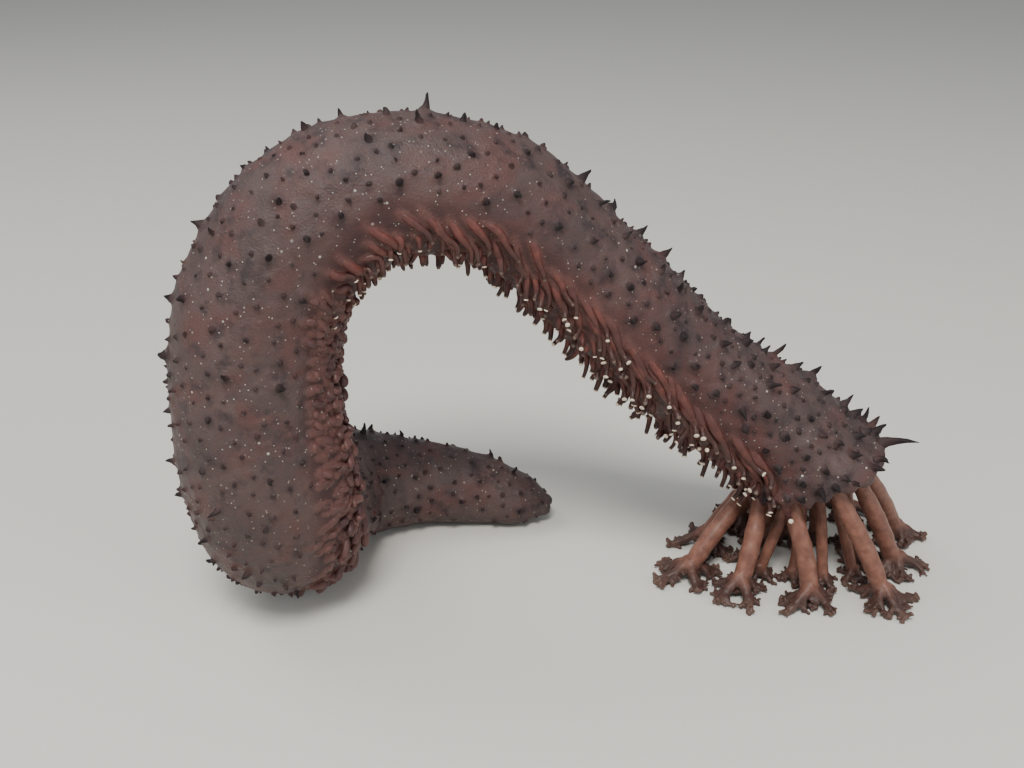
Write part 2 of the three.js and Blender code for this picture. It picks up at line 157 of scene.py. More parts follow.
def noise(points, size, seed):
    """Smooth noise from -1 to 1 whose lumps are about size across."""
    q = np.asarray(points, float) / size + 31.7 * seed + 500
    cell = np.floor(q).astype(np.int64)
    f = q - cell
    f = f * f * (3 - 2 * f)
    total = np.zeros(q.shape[:-1])
    for corner in np.ndindex(2, 2, 2):
        c = cell + np.array(corner)
        h = (c[..., 0] * 73856093) ^ (c[..., 1] * 19349663) ^ (c[..., 2] * 83492791)
        h = (h * 2654435761 + 1013904223) & 0xFFFFFFFF
        h = ((h ^ (h >> 15)) * 2246822519) & 0xFFFFFFFF
        value = ((h >> 8) & 0xFFFF) / 32767.5 - 1
        w = np.prod(np.where(np.array(corner), f, 1 - f), axis=-1)
        total += value * w
    return total


def knobs(points, size, seed):
    """How far each point moves for knobs of 0.28 mm, in all three directions."""
    return 0.28 * np.stack([noise(points, size, seed + k) for k in range(3)], -1)


def keep_above(points, height):
    """Lifts the points that are under a height."""
    points[..., 2] = np.maximum(points[..., 2], height)


def off_sole(angle):
    """The angle off the middle of the sole, from -180 to 180 degrees."""
    return np.degrees(np.arctan2(np.sin(angle), np.cos(angle)))


def smooth(x, low, high):
    """0 below low, 1 above high and an even S between them."""
    u = np.clip((x - low) / (high - low), 0, 1)
    return u * u * (3 - 2 * u)


def band_edge(t):
    """The angle off the sole where the band of tube feet ends on the flank: narrow on the column,
    widest on the arch, and down to the sole again at the collar."""
    return np.interp(t, [6, 8.5, 9, 10, 11, 12, 13.5, 15, 16, 16.7, 17.4, LAST],
                     [33, 31, 36, 54, 78, 70, 64, 61, 55, 48, 36, 26])


def foot_band(t, angle):
    """How far a place is inside the band of tube feet, 0 to 1."""
    edge = band_edge(t)
    return (1 - smooth(np.abs(off_sole(angle)), edge - 9, edge + 7)) * smooth(t, 4.2, 5.6)


def relief(points, t, angle):
    """The soft body's lumps and folds over its smooth shape, in millimetres."""
    near_head = smooth(t, 14.5, 18.5)
    wide = 0.6 * noise(points, 17, 1) + (0.34 + 0.85 * near_head) * noise(points, 6.2, 2)
    fine = (0.22 + 0.4 * near_head) * noise(points, 3.2, 3) + 0.1 * noise(points, 1.6, 4)
    # Folds across the body, where the column is drawn in.
    drawn_in = smooth(t, 4.0, 5.2) * (1 - smooth(t, 8.6, 10.2))
    across = np.stack([length_at(t) / 1.3, body_at(t)[4] * angle / 6.0, np.zeros_like(t)], -1)
    folds = noise(across, 1.0, 5) * (0.14 + 0.45 * foot_band(t, angle)) * drawn_in
    return wide + fine + folds


# Meshes

def set_values(mesh, values):
    """Gives each point of a mesh its named values."""
    for key, numbers in values.items():
        layer = mesh.attributes.new(key, "FLOAT", "POINT")
        layer.data.foreach_set("value", numbers.astype(np.float32).ravel())


def mesh_piece(name, points, faces, values=None, bake_uv=None):
    """A smooth Blender object from points in millimetres, with named values and a bake map."""
    mesh = bpy.data.meshes.new(name)
    mesh.from_pydata((points * MM).reshape(-1, 3), [], faces)
    mesh.shade_smooth()
    set_values(mesh, values or {})
    if bake_uv is not None:
        layer = mesh.uv_layers.new(name="OFBake")
        layer.data.foreach_set("uv", bake_uv.astype(np.float32)[faces.ravel()].ravel())
    mesh.validate()
    piece = bpy.data.objects.new(name, mesh)
    bpy.context.scene.collection.objects.link(piece)
    return piece


def tube_faces(rings, sides):
    """The triangles of a closed tube whose points come ring by ring, with its two end points last."""
    a = np.arange(sides)
    b = (a + 1) % sides
    last = (rings - 1) * sides
    faces = []
    for low in range(0, last, sides):
        high = low + sides
        faces += [np.stack([low + a, low + b, high + b], 1), np.stack([low + a, high + b, high + a], 1)]
    faces.append(np.stack([b, a, np.full(sides, rings * sides)], 1))
    faces.append(np.stack([last + a, last + b, np.full(sides, rings * sides + 1)], 1))
    return np.concatenate(faces)


def rods(centres, radii, sides):
    """Many round rods, closed at both ends, as one set of triangles. centres is (rods, rings, 3), and
    radii (rods, rings)."""
    k, rings, _ = centres.shape
    tangent = unit(np.gradient(centres, axis=1))
    guide = np.array([0.31, 0.52, 0.79])
    side = unit(guide - tangent * np.sum(guide * tangent, -1, keepdims=True))
    other = np.cross(tangent, side)
    turn = turns(sides)
    ring = side[:, :, None] * np.cos(turn)[:, None] + other[:, :, None] * np.sin(turn)[:, None]
    points = centres[:, :, None, :] + ring * radii[:, :, None, None]
    points = np.concatenate([points.reshape(k, -1, 3), centres[:, :1], centres[:, -1:]], axis=1)
    faces = tube_faces(rings, sides)[None] + (np.arange(k) * points.shape[1])[:, None, None]
    return points, faces.reshape(-1, 3)


def ring_values(values, sides):
    """One value a ring, spread to the points of rods()."""
    return np.concatenate([np.repeat(values, sides, axis=1), values[:, :1], values[:, -1:]], axis=1)


def root_uv(t, angle, share, sides):
    """The bake map of small pieces: a patch 0.003 across at each root's place on the skin's unwrap,
    with the piece's end in the middle of its patch."""
    margin = 0.02
    patch_radius = 0.0014
    place = np.stack([margin + 0.94 * length_at(t) / BODY_LENGTH,
                      margin + 0.9 * (np.degrees(angle) % 360) / 360], -1)
    around = np.stack([np.cos(turns(sides)), np.sin(turns(sides))], -1)
    rings = (1 - share)[:, :, None, None] * around * patch_radius
    rings = rings.reshape(len(t), -1, 2)
    rings_and_ends = np.concatenate([rings, np.zeros((len(t), 2, 2))], axis=1)
    return (rings_and_ends + place[:, None]).reshape(-1, 2)


def growths(name, places, points, faces, sides, share, **values):
    """One piece of many small rods that grow at places on the skin, with its values ring by ring.
    share is how far each ring is from the root, 0 to 1."""
    keep_above(points, GROWTH_CLEARANCE)
    values = {key: ring_values(rings, sides) for key, rings in values.items()}
    return mesh_piece(name, points, faces, values, root_uv(*places, share, sides))


# Where papillae and tube feet grow

def scatter(rng, tries, t_range, angle_range, keep, spacing, taken):
    """Stations and angles of random places on the skin. keep tells which may stay, and spacing how
    far each is from the others and from the points taken."""
    t = station_at(rng.uniform(length_at(t_range[0]), length_at(t_range[1]), tries))
    angle = np.radians(rng.uniform(*angle_range, tries))
    good = keep(t, angle)
    t, angle = t[good], angle[good]
    points = skin_at(t, angle)[0]
    apart = spacing(t, angle)
    chosen = []
    for i, point in enumerate(points):
        if np.min(np.sum((taken - point) ** 2, axis=1), initial=math.inf) >= apart[i] ** 2:
            taken = np.vstack([taken, point])
            chosen.append(i)
    return t[chosen], angle[chosen]


# The papillae on the outline in the photo: station, angle and height.
OUTLINE_PAPILLAE = [
    (7.4, 144, 2.0), (8.5, 152, 3.4), (9.6, 164, 2.8), (11.5, 172, 3.0), (12.4, 168, 2.2),
    (13.1, 162, 2.2), (13.5, 156, 2.4), (14.0, 156, 3.0), (14.4, 156, 3.8), (15.7, 160, 2.4),
    (16.6, 160, 3.4), (17.5, 156, 4.4),
]
# The one long papilla that points away from the arch.
LONG_ANGLE = 115.7
LONG_HEIGHT = 11
LONG_RADIUS = 1.4
# The dark round a papilla fades over this many of its radii, and ends at this many.
WART_FADE = 2.08
WART_REACH = 4.2
# The skin's mound under a papilla grows with it up to this height, and is this wide, in its radii.
MOUND_CAP = 3.5
MOUND_WIDTH = 2.6
# The skin's ridges under the long tube feet, and its lobes under the drawn-in ones.
RIDGE_HEIGHT = 0.7
RIDGE_WIDTH = 1.1
RIDGE_REACH = 2.4
LOBE_HEIGHT = 0.65
LOBE_WIDTH = 1.5


def papilla_places():
    """Station, angle, height and base radius of every papilla, the outline's first."""
    rng = default_rng(11)
    lead_t, lead_degrees, lead_height = np.array(OUTLINE_PAPILLAE).T
    lead_angle = np.radians(lead_degrees)
    held = skin_at(lead_t, lead_angle)[0]

    def keep(t, angle):
        edge = np.where(t < 5, 62, band_edge(t) + 6)
        off_band = np.abs(off_sole(angle)) > edge + rng.uniform(-6, 8, len(t))
        return off_band & (t < rim_station(angle) - 0.12)

    def spacing(t, _):
        return np.interp(t, [0, 9, 13, 16, LAST], [3.7, 3.8, 3.6, 3.1, 3.0]) * rng.uniform(0.8, 1.4, len(t))

    t, angle = scatter(rng, 16000, (0.12, LAST + 0.8), (0, 360), keep, spacing, held)
    # The large ones stand well apart, and closer together towards the head.
    along = [0, 9, 12, 15, LAST]
    chance = rng.uniform(0, 1, len(t)) < np.interp(t, along, [0.25, 0.3, 0.45, 0.75, 0.85])
    apart = np.interp(t, along, [8.0, 8.5, 7.0, 4.9, 4.6])
    places = skin_at(t, angle)[0]
    big = np.zeros(len(t), bool)
    for i in np.flatnonzero(chance):
        if np.min(np.linalg.norm(held - places[i], axis=1)) > apart[i]:
            big[i] = True
            held = np.vstack([held, places[i]])
    late = smooth(t, 12, 17)
    height = np.where(big, rng.uniform(1.0, 2.2, len(t)) + 0.6 * late, rng.uniform(0.25, 0.75, len(t)))
    radius = np.where(big, rng.uniform(0.85, 1.1, len(t)) + 0.3 * late, rng.uniform(0.5, 0.85, len(t)))
    # The rim of the collar, with the long papilla.
    count = 30
    rim_angle = (np.arange(count) + rng.uniform(-0.25, 0.25, count)) / count * 2 * math.pi
    rim_height = rng.uniform(1.0, 3.4, count)
    long_one = np.argmin(np.abs(np.degrees(rim_angle) - LONG_ANGLE))
    rim_height[long_one] = LONG_HEIGHT
    rim_t = rim_station(rim_angle) - rng.uniform(0.08, 0.3, count)
    rim_radius = rng.uniform(1.0, 1.45, count)
    rim_radius[long_one] = LONG_RADIUS
    on_outline = np.stack([lead_t, lead_angle, lead_height * 0.85, 0.8 + 0.15 * lead_height])
    on_body = np.stack([t, angle, height, radius])
    on_rim = np.stack([rim_t, rim_angle, rim_height, rim_radius])
    return np.concatenate([on_outline, on_body, on_rim], axis=1)


def mound_height(height):
    """How far the skin itself rises under a papilla."""
    return 0.3 + 0.43 * np.minimum(height, MOUND_CAP)


def papilla_shade(height):
    """How dark the skin is at the middle of each papilla: three in ten stand in a dark patch."""
    rng = default_rng(31)
    dark = np.where(rng.uniform(0, 1, len(height)) < 0.3, 0.9, 0.32)
    return dark * (0.6 + 0.13 * np.minimum(height, 3))


def make_papillae(places):
    """Papillae: a wide base that grows out of the skin, and a leaning, dark tip. The small ones are
    blunt warts."""
    t, angle, height, radius = places
    rng = default_rng(12)
    base, out, along = skin_at(t, angle)
    sunk = 0.45 + 0.14 * np.minimum(height, MOUND_CAP)
    base = base + out * (relief(base, t, angle) + 0.4 * mound_height(height) - sunk)[:, None]
    share = np.array([0, 0.1, 0.26, 0.48, 0.72, 0.9, 1.0])
    pointed = np.array([1.35, 1.12, 0.88, 0.63, 0.41, 0.24, 0.06])
    blunt = np.array([1.4, 1.24, 1.04, 0.84, 0.6, 0.34, 0.08])
    lean = rng.normal(0, 0.22, (len(t), 3)) + along * 0.12
    kink = rng.normal(0, 0.13, (len(t), 3))
    long_one = height == LONG_HEIGHT
    lean[long_one] = MOUTH_FACES * 0.65
    kink[long_one] = 0
    up = share[:, None]
    tall = height[:, None, None]
    bend = (lean[:, None] * up**1.4 + kink[:, None] * np.sin(up * 5) * up) * tall
    centres = base[:, None] + out[:, None] * ((tall + 0.75) * up) + bend
    small = 1 - smooth(height, 0.8, 1.5)[:, None]
    profile = pointed * (1 - small) + blunt * small
    uneven = np.array([0.03, 0.05, 0.1, 0.16, 0.16, 0.16, 0.16])
    radii = radius[:, None] * profile * (1 + uneven * rng.uniform(-1, 1, profile.shape))
    sides = 9
    points, faces = rods(centres, radii, sides)
    points += knobs(points, 1.1, 14) * ring_values(np.minimum(0.2 + 2.5 * share[None], 1), sides)[..., None]
    wart = papilla_shade(height)[:, None] * np.exp(-(profile / WART_FADE) ** 2)
    tip = share * (1 - 0.5 * small) * rng.uniform(0.6, 1, (len(t), 1))
    share = np.tile(share, (len(t), 1))
    return growths("papillae", (t, angle), points, faces, sides, share, tip=tip, wart=wart)


def long_foot_places():
    """Stations and angles of the long tube feet, from the arch to the collar."""
    rng = default_rng(21)

    def keep(t, angle):
        return (np.abs(off_sole(angle)) < band_edge(t) - 2) & (t < rim_station(angle) - 0.4)

    def spacing(t, angle):
        wide = np.abs(off_sole(angle)) > band_edge(t) - 34
        middle = 4.0 - 0.7 * smooth(t, 13, 15)
        return np.where(wide, 3.7 - 0.5 * smooth(t, 12.5, 14), middle) * rng.uniform(0.85, 1.2, len(t))

    return scatter(rng, 9000, (9.3, LAST), (-80, 80), keep, spacing, np.zeros((0, 3)))


def drawn_in_foot_places():
    """Stations and angles of the drawn-in tube feet, on the column."""
    rng = default_rng(22)
    t, angle = [], []
    # Rows across the band, each foot beside its neighbour's gap.
    for row, s in enumerate(np.arange(length_at(4.7), length_at(9.7), 2.9)):
        here = float(station_at(s))
        for k in range(-4, 5):
            off = (k + 0.5 * (row % 2)) * 12.5 + rng.uniform(-4.5, 4.5)
            if abs(off) < band_edge(here) + rng.uniform(-2, 10):
                t.append(float(station_at(s + rng.uniform(-0.8, 0.8))))
                angle.append(math.radians(off))
    return np.array(t), np.array(angle)


def on_skin(point, t, lift):
    """A point near the body, put back over the skin at a height; also its station and angle."""
    for _ in range(2):
        at, along, _, _, _ = body_at(t)
        move = np.sum((point - at) * along, -1)
        t = station_at(np.clip(length_at(t) + move, 0, BODY_LENGTH))
    at, along, sole, flank, _ = body_at(t)
    away = point - at
    angle = np.arctan2(np.sum(away * flank, -1), np.sum(away * sole, -1))
    surface, out, along = skin_at(t, angle)
    return surface + out * lift[:, None], t, angle


# The long tube feet are short where they begin on the column, and grow over these stations.
LONG_FEET_GROW = (9.2, 10.8)


def on_flank(t, angle):
    """1 for a foot in the outer part of the band, which lies along the flank, to 0 at its middle."""
    edge = np.maximum(band_edge(t), 46)
    return smooth(np.abs(off_sole(angle)), edge - 36, edge - 14)


def long_foot_paths(places):
    """The middle lines of the long tube feet: each lies along the skin as a soft ridge, turns down
    and leaves it, and curls its end outwards."""
    t, angle = places
    k = len(t)
    rng = default_rng(23)
    flank = on_flank(t, angle)
    late = smooth(t, 11.5, 15.5)
    grown = smooth(t, *LONG_FEET_GROW)
    length = (1.9 + 2.6 * late) * (1 - flank) + (12.0 + 2.0 * late) * flank
    length = length * (0.45 + 0.55 * grown) * rng.uniform(0.4 + 0.35 * flank, 1.45 - 0.2 * flank) + 0.8
    laid = 0.12 + 0.58 * flank
    steps = 13
    point, out, _ = skin_at(t, angle)
    centres = [point - out * 1.1]
    wander = rng.normal(0, 1, (k, 3)) * (0.3 - 0.1 * flank)[:, None]
    curl = out + rng.normal(0, 0.4, (k, 3))
    sway = rng.uniform(-0.75, 0.75, k)
    sway_start = rng.uniform(0, 2 * math.pi, k)
    heading = out
    for j in range(1, steps):
        share = j / (steps - 1)
        _, out, along = skin_at(t, angle)
        sole = body_at(t)[2]
        ahead = smooth(t, *LONG_FEET_GROW)[:, None]
        neck = smooth(t, 12.3, 14.2)[:, None]
        swing = sway * np.sin(share * 7 + sway_start)
        lie = (along * (1.05 + 0.75 * neck) * ahead + DOWN * (0.15 + (0.55 - 0.1 * neck) * ahead)
               + sole * (0.9 - 0.5 * ahead) + wander + np.cross(out, along) * swing[:, None])
        lie = unit(lie - out * np.sum(lie * out, -1, keepdims=True))
        end = smooth(share, 0.5, 1.0)
        bend = curl * (0.15 + (0.15 + late[:, None]) * end)
        free = unit(DOWN * (1.1 - 0.75 * end * late[:, None]) + bend + wander)
        loose = smooth(share, laid - 0.05, laid + 0.3)[:, None]
        heading = unit(heading * 0.55 + lie * (1 - loose) + free * loose)
        moved = centres[-1] + heading * (length / (steps - 1))[:, None]
        lift = -1.25 + 1.3 * smooth(share, 0, 0.36) + 0.4 * smooth(share, 0.25, 0.6) + 0.5 * loose[:, 0]
        over, t, angle = on_skin(moved, t, lift)
        below = np.sum((moved - over) * skin_at(t, angle)[1], -1)
        centres.append(np.where(((below < 0) | (loose[:, 0] < 0.5))[:, None], over, moved))
    return np.stack(centres, 1)


def make_long_feet(places, centres):
    """Tube feet on the arch and the falling part: thick at the root, and some with a pale sucker."""
    t, angle = places
    k, steps, _ = centres.shape
    rng = default_rng(25)
    flank = on_flank(t, angle)[:, None]
    share = np.linspace(0, 1, steps)
    ridge = np.interp(share, [0, 0.15, 0.35, 0.6, 0.85, 1], [0.8, 1.0, 1.1, 0.92, 0.7, 0.6])
    short = np.interp(share, [0, 0.2, 0.6, 1], [1.2, 0.95, 0.75, 0.62])
    width = ridge * flank + short * (1 - flank)
    # The sucker: a thin flat disc on the end, and a round end where it doesn't show.
    end = centres[:, -1]
    way = unit(end - centres[:, -2])
    shown = rng.uniform(0, 1, (k, 1)) < (0.36 + 0.34 * smooth(t, 12, 15.5))[:, None]
    depth = np.where(shown, [0.06, 0.16, 0.36, 0.44], [0.14, 0.36, 0.56, 0.66])
    disc = end[:, None] + way[:, None] * depth[..., None]
    size = rng.uniform(0.82, 1.12, k)[:, None]
    disc_radii = np.where(shown, [0.5, 0.64, 0.66, 0.46], [0.56, 0.52, 0.4, 0.18])
    disc_radii = size * (0.8 + 0.2 * smooth(t, 12, 16))[:, None] * disc_radii
    neck = smooth(t, 12.5, 15)[:, None]
    radii = np.concatenate([width * size * (0.9 + flank * (0.03 + 0.25 * neck)), disc_radii], 1)
    sides = 10
    points, faces = rods(np.concatenate([centres, disc], 1), radii, sides)
    reach = np.tile(np.concatenate([share * 0.9, [0.92, 0.95, 0.98, 1.0]]), (k, 1))
    pale = np.concatenate([np.zeros(steps), [0.3, 1, 1, 1]]) * np.where(shown, 1.0, 0.12)
    tone = np.broadcast_to(rng.uniform(0, 1, (k, 1)), reach.shape)
    return growths("tube_feet_long", places, points, faces, sides, reach, reach=reach, sucker=pale, tone=tone)


# The rings of a drawn-in tube foot: how far along it each is, and its radius.
LOBE_SHARES = np.array([0, 0.2, 0.45, 0.7, 0.88, 0.97, 1.0])
LOBE_RADII = np.array([0.8, 1.05, 1.22, 1.26, 1.1, 0.76, 0.28])


def drawn_in_foot_paths(places):
    """The middle lines of the drawn-in tube feet: soft fingers that lie across the band to its middle."""
    t, angle = places
    k = len(t)
    rng = default_rng(24)
    root, out, along = skin_at(t, angle)
    toward = np.where((off_sole(angle) > 0)[:, None], 1, -1) * np.cross(along, out)
    length = rng.uniform(3.0, 5.4, k)
    rise = rng.uniform(-0.2, 0.7, k) + rng.uniform(0, 1.5, k) * (1 - smooth(off_sole(angle), 0, 22))
    sag = DOWN * 0.35 + rng.normal(0, 0.2, (k, 3))
    lines = []
    for x in LOBE_SHARES:
        point = root + (toward * x + sag * x**1.5) * length[:, None]
        lines.append(on_skin(point, t, -1.2 + 1.5 * x**0.6 + rise * x)[0])
    return np.stack(lines, 1)


def make_drawn_in_feet(places, centres):
    """Tube feet on the column: thick, soft lobes with no sucker in sight."""
    count = len(centres)
    rng = default_rng(26)
    size = rng.uniform(0.7, 1.08, count)[:, None]
    sides = 10
    points, faces = rods(centres, LOBE_RADII * size, sides)
    points += knobs(points, 1.8, 17)
    reach = np.tile(LOBE_SHARES * 0.75, (count, 1))
    tone = np.broadcast_to(rng.uniform(0, 1, (count, 1)), reach.shape)
    return growths("tube_feet_drawn_in", places, points, faces, sides, reach, reach=reach, tone=tone)


# The skin: one surface from the hind tip, over the collar's rim and into the cup

def rise_under(tree, count, lines, reach, profile):
    """How far the skin rises along the roots of tube feet, as a share, at each point of the tree."""
    rise = np.zeros(count)
    for centre in lines.reshape(-1, 3):
        for _, i, far in tree.find_range(centre, reach):
            rise[i] = max(rise[i], profile(far))
    return rise


def hind_tip(first, angle):
    """Rings that close the skin's hind end round a puckered opening, and the opening's middle."""
    centre, along = first.mean(0), body_at(0.0)[1]
    rings = []
    for k in range(8, 0, -1):
        phi = math.pi / 2 * (1 - k / 9)
        radius = math.sin(phi)
        pucker = 0.12 * np.cos(angle * 7) * (1 - radius) * 3
        back = 2.9 * math.cos(phi) - 2.2 * (1 - radius) ** 3 + pucker
        rings.append(centre + (first - centre) * radius - along * back[:, None])
    return rings, centre - along * 0.4


def collar(edge, angle):
    """Rings that roll the skin's edge over the scalloped rim and down into the cup, and the middle of
    the cup's floor."""
    from_mouth = edge - MOUTH_AT
    across = from_mouth - (from_mouth @ MOUTH_FACES)[:, None] * MOUTH_FACES
    inward = -unit(across)
    wall = np.linalg.norm(across, axis=1) - (CUP_RADIUS + 0.1)
    scallop = (1.7 + 0.9 * np.cos(angle * 12 + 1.5 * np.sin(angle * 2))
               + 0.7 * np.cos(angle * 29 + 2 * np.sin(angle * 3)) + 1.4 * noise(edge, 4.0, 8))
    rings = []
    for phi in np.arange(1, 11) * math.pi / 10:
        rings.append(edge + MOUTH_FACES * (1.15 * math.sin(phi) * np.maximum(scallop, 0.15))[:, None]
                     + inward * (wall * (1 - math.cos(phi)) / 2)[:, None])
    lip = rings[-1]
    wobble = inward * (0.12 * noise(lip, 2.0, 9))[:, None]
    rings += [lip - MOUTH_FACES * depth + wobble for depth in np.arange(0.6, CUP_DEPTH, 0.6)]
    low = rings[-1]
    floor_at = low.mean(0)
    rings += [floor_at + (low - floor_at) * share for share in (0.8, 0.55, 0.3, 0.1)]
    return rings, floor_at


def make_skin(papillae, ridges, lobes):
    """The whole skin, with mounds under the papillae and ridges where the tube feet leave it."""
    around = 240
    row_step = 0.56
    head_rows = np.linspace(0, 1, 48)[:, None]
    angle = turns(around)
    body_rows = station_at(np.arange(0.6, length_at(HEAD_STARTS), row_step))
    t = np.concatenate([np.tile(body_rows[:, None], (1, around)),
                        HEAD_STARTS + head_rows * (rim_station(angle) - HEAD_STARTS)])
    angles = np.tile(angle, (len(t), 1))
    base, out, _ = skin_at(t, angles)
    tree = KDTree(t.size)
    for i, point in enumerate(base.reshape(-1, 3)):
        tree.insert(point, i)
    tree.balance()
    mound = np.zeros(t.size)
    shade = np.zeros(t.size)
    station, turn, height, radius = papillae
    under = zip(skin_at(station, turn)[0], radius, mound_height(height), papilla_shade(height))
    for centre, wide, rise, dark in under:
        for _, i, far in tree.find_range(centre, wide * WART_REACH):
            mound[i] = max(mound[i], rise * max(1 - far / (wide * MOUND_WIDTH), 0) ** 2)
            shade[i] = max(shade[i], dark * math.exp(-(far / wide / WART_FADE) ** 2))
    ridge = rise_under(tree, t.size, ridges, RIDGE_REACH, lambda far: math.exp(-(far / RIDGE_WIDTH) ** 2))
    lobe = rise_under(tree, t.size, lobes, LOBE_WIDTH,
                      lambda far: math.sqrt(max(1 - (far / LOBE_WIDTH) ** 2, 0)))
    mound += RIDGE_HEIGHT * ridge + LOBE_HEIGHT * lobe
    crest = np.maximum(ridge, lobe).reshape(t.shape)
    points = base + out * (relief(base, t, angles) + mound.reshape(t.shape))[..., None]

    tip_rings, tip_at = hind_tip(points[0], angle)
    rim_rings, floor_at = collar(points[-1], angle)
    before, after = len(tip_rings), len(rim_rings)
    points = np.concatenate([tip_rings, points, rim_rings])
    faces = tube_faces(len(points), around)
    points = np.concatenate([points.reshape(-1, 3), [tip_at], [floor_at]])
    keep_above(points, SKIN_CLEARANCE)

    t = np.pad(t, ((before, after), (0, 0)), constant_values=((0, LAST), (0, 0)))
    angles = np.tile(angle, (len(t), 1))
    crest = np.pad(crest, ((before, after), (0, 0)))
    # Both ends of the skin are dark: the hind tip towards its opening, and the collar from its rim down into
    # the cup, darker deeper in, as painted shade. The last number in each row is its value at the two end
    # points.
    shade = np.concatenate([np.outer(np.linspace(1, 0, before), np.ones(around)), shade.reshape(-1, around),
                            np.outer(np.linspace(0.2, 1, after), np.ones(around))])
    from_band = np.abs(off_sole(angles)) - band_edge(t)
    blush = (1 - smooth(from_band, 2, 50)) * smooth(t, 8.5, 10.5) * (0.4 + 0.6 * smooth(t, 13, 16.5))
    rows = (("band", foot_band(t, angles), 0), ("wart", shade, 1), ("crest", crest, 0), ("blush", blush, 0))
    values = {key: np.append(value, [at_ends, at_ends]) for key, value, at_ends in rows}
    return mesh_piece("skin", points, faces, values)


# The tentacles

def bezier(p0, p1, p2, p3, u):
    """Points on a curve from p0 to p3, at shares u of the way."""
    u = u[:, None]
    return p0 * (1 - u)**3 + 3 * p1 * u * (1 - u)**2 + 3 * p2 * u**2 * (1 - u) + p3 * u**3


def level(turn):
    """The level direction at an angle from the x axis."""
    return np.array([math.cos(turn), math.sin(turn), 0])


def hub_of(foot):
    """The middle of a tentacle's crown, on the floor."""
    return SPREAD_CENTRE + foot[1] * level(math.radians(foot[0]))


STALK_SIDES = 16
BRANCH_SIDES = 10
TWIG_SIDES = 8
BUD_SIDES = 7
HUBS = [(hub_of(foot), size) for _, size, feet in TENTACLE_RINGS for foot in feet]


def room_along(hub, size, out):
    """How far a crown may reach in a direction before it meets a neighbour's ground."""
    room = math.inf
    for other, other_size in HUBS:
        to = other - hub
        far = np.linalg.norm(to)
        if far < 0.1:
            continue
        closing = (to / far) @ out
        if closing > 0.05:
            border = far * size["crown"] / (size["crown"] + other_size["crown"]) - CROWN_MARGIN
            room = min(room, border / closing)
    return room


def bushy_end(at, way, b, buds, rng):
    """Short knobby buds round the end of a branch whose radius is b."""
    made = []
    for _ in range(buds):
        aim = unit(way * 0.9 + rng.normal(0, 0.75, 3) * [1, 1, 0.75] + [0, 0, 0.15])
        far = rng.uniform(0.8, 2.1) * b
        bud = at + aim[None] * np.linspace(0, far, 4)[:, None]
        keep_above(bud, 0.34 * b)
        made.append((bud, np.array([0.48, 0.36, 0.36, 0.42]) * b * rng.uniform(0.8, 1.1), BUD_SIDES))
    return made


def tentacle_rods(foot, size, rng):
    """The rods that make one tentacle: its stalk, and a crown of root-like branches with bushy ends."""
    hub = hub_of(foot)
    toward = unit(hub - SPREAD_CENTRE)
    side = level(math.radians(foot[2]))
    side = unit(side - MOUTH_FACES * (side @ MOUTH_FACES))
    in_disc = 0.6
    root = MOUTH_AT + MOUTH_FACES * (-CUP_DEPTH + GAP + DISC_THICK - in_disc) + side * size["root"]
    b = size["branch"]
    up = np.array([0, 0, b])
    u = np.linspace(0, 1, 34)
    line = bezier(root, root + MOUTH_FACES * size["straight"] + side * size["spread"],
                  hub - toward * 3 + [0, 0, 12], hub + up * 1.6, u)
    swell = np.interp(u, [0, 0.12, 0.3, 0.5, 0.75, 0.9, 1], [0.8, 0.78, 0.86, 1.0, 1.0, 0.95, 1.1])
    swell = swell + 0.03 * np.sin(u * 40 + rng.uniform(0, 6)) * (u > 0.08)
    made = [(line, swell * size["stalk"], STALK_SIDES)]
    first = math.atan2(toward[1], toward[0]) + rng.uniform(-0.5, 0.5)
    for k in range(size["branches"]):
        angle = first + 2 * math.pi * (k + rng.uniform(-0.25, 0.25)) / size["branches"]
        out = level(angle)
        free = room_along(hub, size, out) - b * 0.9
        reach = min(size["crown"] * rng.uniform(0.6, 1.1) - b * 0.6, free)
        bow = np.array([-out[1], out[0], 0]) * rng.uniform(-0.22, 0.22) * reach
        v = np.linspace(0, 1, 10)
        main = bezier(hub + up * 4, hub + out * reach * 0.3 + up * 3.2,
                      hub + out * reach * 0.6 + bow + up * 1.5, hub + out * reach + up * 0.85, v)
        knob = 1 + 0.1 * np.sin(v * 15 + rng.uniform(0, 6))
        thick = rng.uniform(0.85, 1.15)
        made.append((main, np.interp(v, [0, 0.5, 1], [1.35, 0.95, 0.8]) * b * knob * thick, BRANCH_SIDES))
        made += bushy_end(main[-1], out, b, size["buds"], rng)
        for _ in range(size["twigs"]):
            start = main[int(rng.integers(3, 8))]
            away = level(angle + rng.choice([-1, 1]) * rng.uniform(0.6, 1.2))
            far = (start - hub) * [1, 1, 0]
            limit = room_along(hub, size, unit(far + away * 2)) - np.linalg.norm(far) - b * 0.6
            short = max(min(reach * rng.uniform(0.25, 0.42), limit), 0.5)
            bend = start + away * short * 0.8 - [0, 0, start[2] * 0.3]
            end = start * [1, 1, 0] + away * short + up * rng.uniform(0.55, 0.9)
            twig = bezier(start, start + away * short * 0.4, bend, end, np.linspace(0, 1, 6))
            made.append((twig, np.linspace(0.72, 0.52, 6) * b, TWIG_SIDES))
            made += bushy_end(twig[-1], away, b * 0.8, 6, rng)
    # Small knobs on the ground under the stalk's end.
    for _ in range(size["knobs"]):
        way = level(rng.uniform(0, 2 * math.pi))
        start = hub + way * size["stalk"] * 0.5 + up * rng.uniform(0.8, 2.2)
        made += bushy_end(start + way * b * 0.8, way, b * 0.8, 2, rng)
    return made


